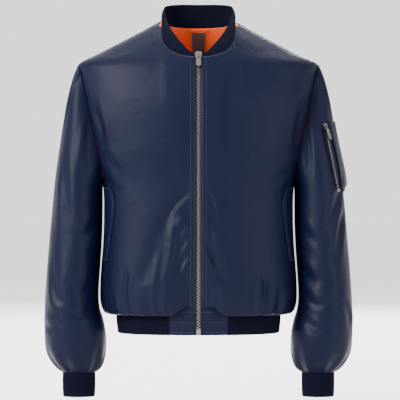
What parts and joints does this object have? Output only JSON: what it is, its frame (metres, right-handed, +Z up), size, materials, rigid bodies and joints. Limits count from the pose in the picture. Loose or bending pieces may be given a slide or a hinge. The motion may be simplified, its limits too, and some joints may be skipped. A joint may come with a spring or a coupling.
{
  "type": "bomber jacket",
  "caption": "Zipped bomber jacket with rib collar, cuffs and hem, slanted flap pockets and a zipped sleeve pocket, filled out as if worn.",
  "frame": {"origin": "midway between the two side neck points, where the wearer's shoulders hold the jacket up", "axes": "+Z up, -Y out of the front, +X towards the wearer's left arm"},
  "size_m": [0.6568, 0.3074, 0.84],
  "materials": {
    "shell": "satin nylon twill, navy",
    "rib": "matt rib knit, dark navy",
    "zip_tape": "matt woven tape, dark navy",
    "zip_metal": "antique silver",
    "lining": "satin nylon, orange",
    "label": "matt woven label, charcoal, bare"
  },
  "bodies": {
    "jacket": {"back": "shell", "front_left": "shell", "front_right": "shell", "sleeve_left": "shell", "sleeve_right": "shell", "hem_tab_left": "shell", "hem_tab_right": "shell", "pocket_flap_left": "shell", "pocket_flap_right": "shell", "arm_pocket": "shell", "collar_rib": "rib", "hem_rib": "rib", "cuff_left": "rib", "cuff_right": "rib", "zip_tape_left": "zip_tape", "zip_tape_right": "zip_tape", "arm_zip_tape": "zip_tape", "zip_teeth": "zip_metal", "zip_box": "zip_metal", "zip_slider": "zip_metal", "arm_zip_teeth": "zip_metal", "arm_zip_stop": "zip_metal", "arm_zip_slider": "zip_metal", "neck_lining": "lining", "hanger_loop": "lining", "neck_label": "label"},
    "zip_pull": {"zip_pull": "zip_metal"},
    "arm_zip_pull": {"arm_zip_pull": "zip_metal"}
  },
  "joints": [
    {"name": "zip_pull_swing", "type": "hinge", "parent": "jacket", "child": "zip_pull", "pos_m": [0, -0.11028, -0.08209], "axis": [-1, 0, 0], "range_deg": [0, 150]},
    {"name": "arm_zip_pull_swing", "type": "hinge", "parent": "jacket", "child": "arm_zip_pull", "pos_m": [0.27003, -0.06382, -0.22798], "axis": [-0.685, -0.7182, -0.1222], "range_deg": [0, 150]}
  ]
}
